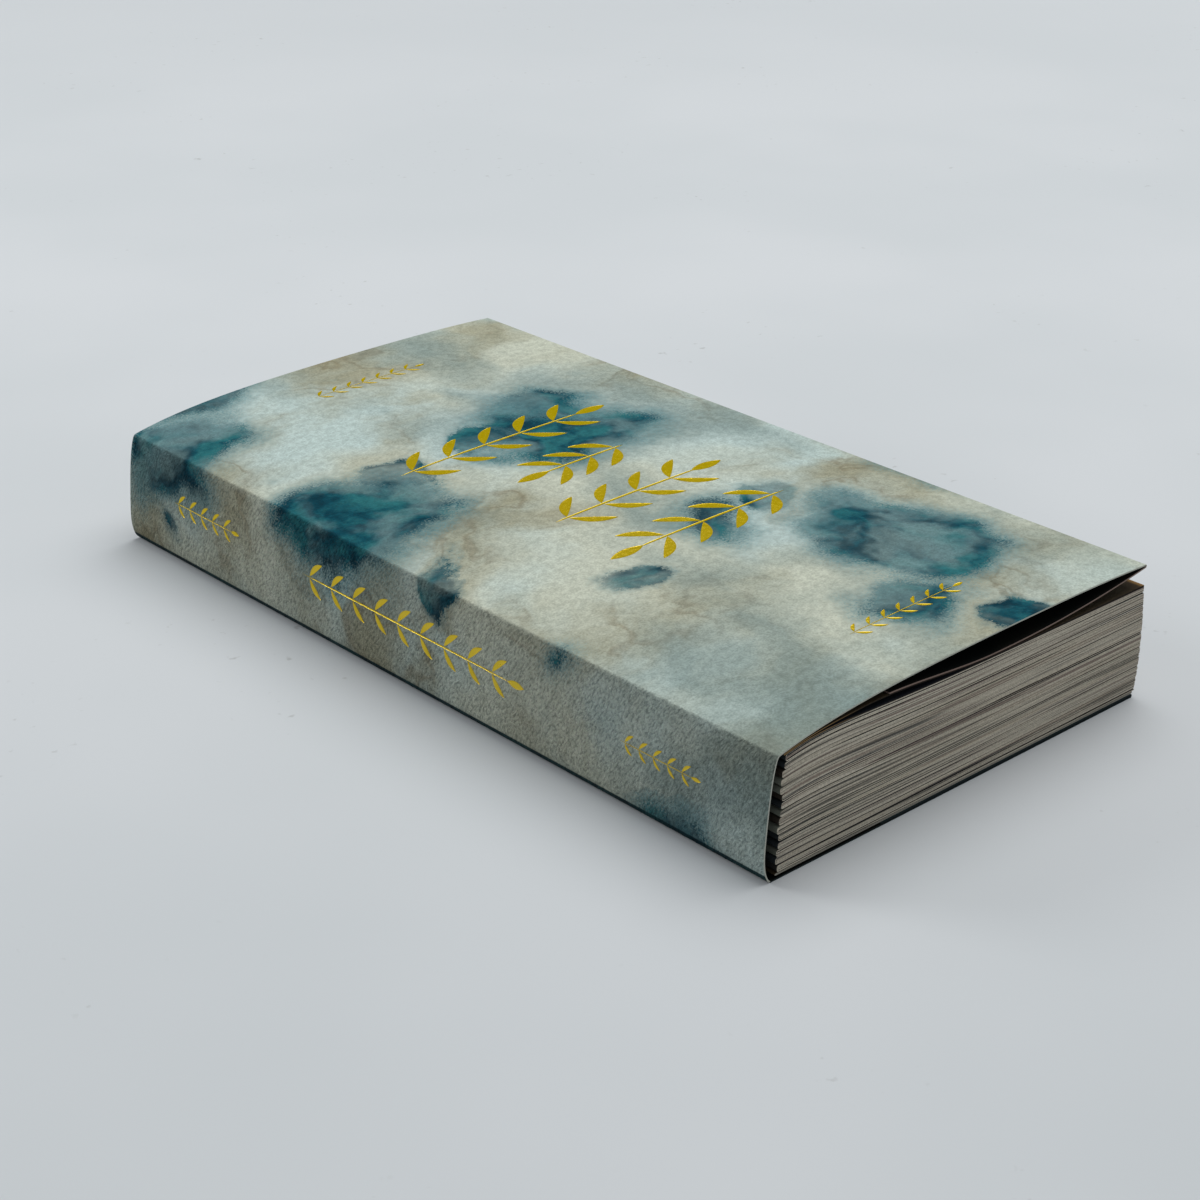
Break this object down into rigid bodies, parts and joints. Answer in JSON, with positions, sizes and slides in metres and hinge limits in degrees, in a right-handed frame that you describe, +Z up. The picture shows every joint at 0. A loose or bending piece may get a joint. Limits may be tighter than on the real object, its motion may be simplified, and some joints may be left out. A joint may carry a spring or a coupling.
{
  "type": "softcover booklet",
  "caption": "Thick softcover booklet of sewn sections with a wrap-round card cover, folded-in flaps and hinged front and back covers.",
  "frame": {"origin": "centre of the footprint, on the surface that the booklet lies on", "axes": "+X from the spine to the fore-edge, +Y from tail to head along the spine, +Z up through the front cover"},
  "size_m": [0.1138, 0.21, 0.0315],
  "materials": {
    "pages": "matte uncoated, cut edges",
    "thread": "matte cotton thread",
    "endpaper": "matte uncoated",
    "card": "matte felt-marked card"
  },
  "bodies": {
    "block": {"text_block": "pages", "sewing_thread": "thread", "front_endpaper": "endpaper", "back_endpaper": "endpaper", "spine": "card"},
    "front_cover": {"front_cover": "card"},
    "back_cover": {"back_cover": "card"}
  },
  "joints": [
    {"name": "front_cover_hinge", "type": "hinge", "parent": "block", "child": "front_cover", "pos_m": [-0.0542, 0, 0.02631], "axis": [0, -1, 0], "range_deg": [0, 180]},
    {"name": "back_cover_hinge", "type": "hinge", "parent": "block", "child": "back_cover", "pos_m": [-0.0546, 0, 0], "axis": [0, 1, 0], "range_deg": [0, 180]}
  ]
}
